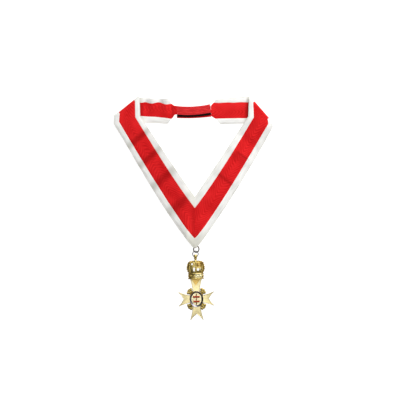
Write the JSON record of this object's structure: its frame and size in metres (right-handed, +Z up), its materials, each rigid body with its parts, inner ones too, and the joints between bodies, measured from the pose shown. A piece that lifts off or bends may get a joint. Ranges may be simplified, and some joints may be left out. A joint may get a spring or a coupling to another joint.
{
  "type": "masonic collar with jewel",
  "caption": "Neck collar of red moire ribbon with white edges, folded into a V and laid flat, with a crowned eight-pointed cross jewel on linked rings.",
  "frame": {"origin": "under the middle of the object's outline, on the surface it lies on", "axes": "+Y from the jewel up to the nape of the neck, +Z up off the surface, +X to the right as seen from above"},
  "size_m": [0.2237, 0.3134, 0.0071],
  "materials": {
    "red_moire": "red moire ribbon with a soft sheen",
    "white_edging": "white woven edging",
    "black_tape": "black hook and loop tape",
    "white_thread": "white sewing thread",
    "ring_steel": "bright steel wire",
    "gilt_casting": "gilt casting, darker in the recesses",
    "polished_rim": "mirror polished white metal",
    "pale_gilt": "pale gilt, satin",
    "red_enamel": "fired red enamel"
  },
  "bodies": {
    "root": {"ribbon_left": "red_moire", "ribbon_right": "red_moire", "edging_left_outer": "white_edging", "edging_left_inner": "white_edging", "edging_right_outer": "white_edging", "edging_right_inner": "white_edging", "tab_front": "red_moire", "tab_rear": "red_moire", "fastening_tape": "black_tape", "thread_loop": "white_thread", "ring_upper": "ring_steel", "ring_lower": "ring_steel", "jewel": "gilt_casting", "medallion_rim": "polished_rim", "medallion_field": "pale_gilt", "double_cross": "red_enamel"}
  },
  "joints": []
}
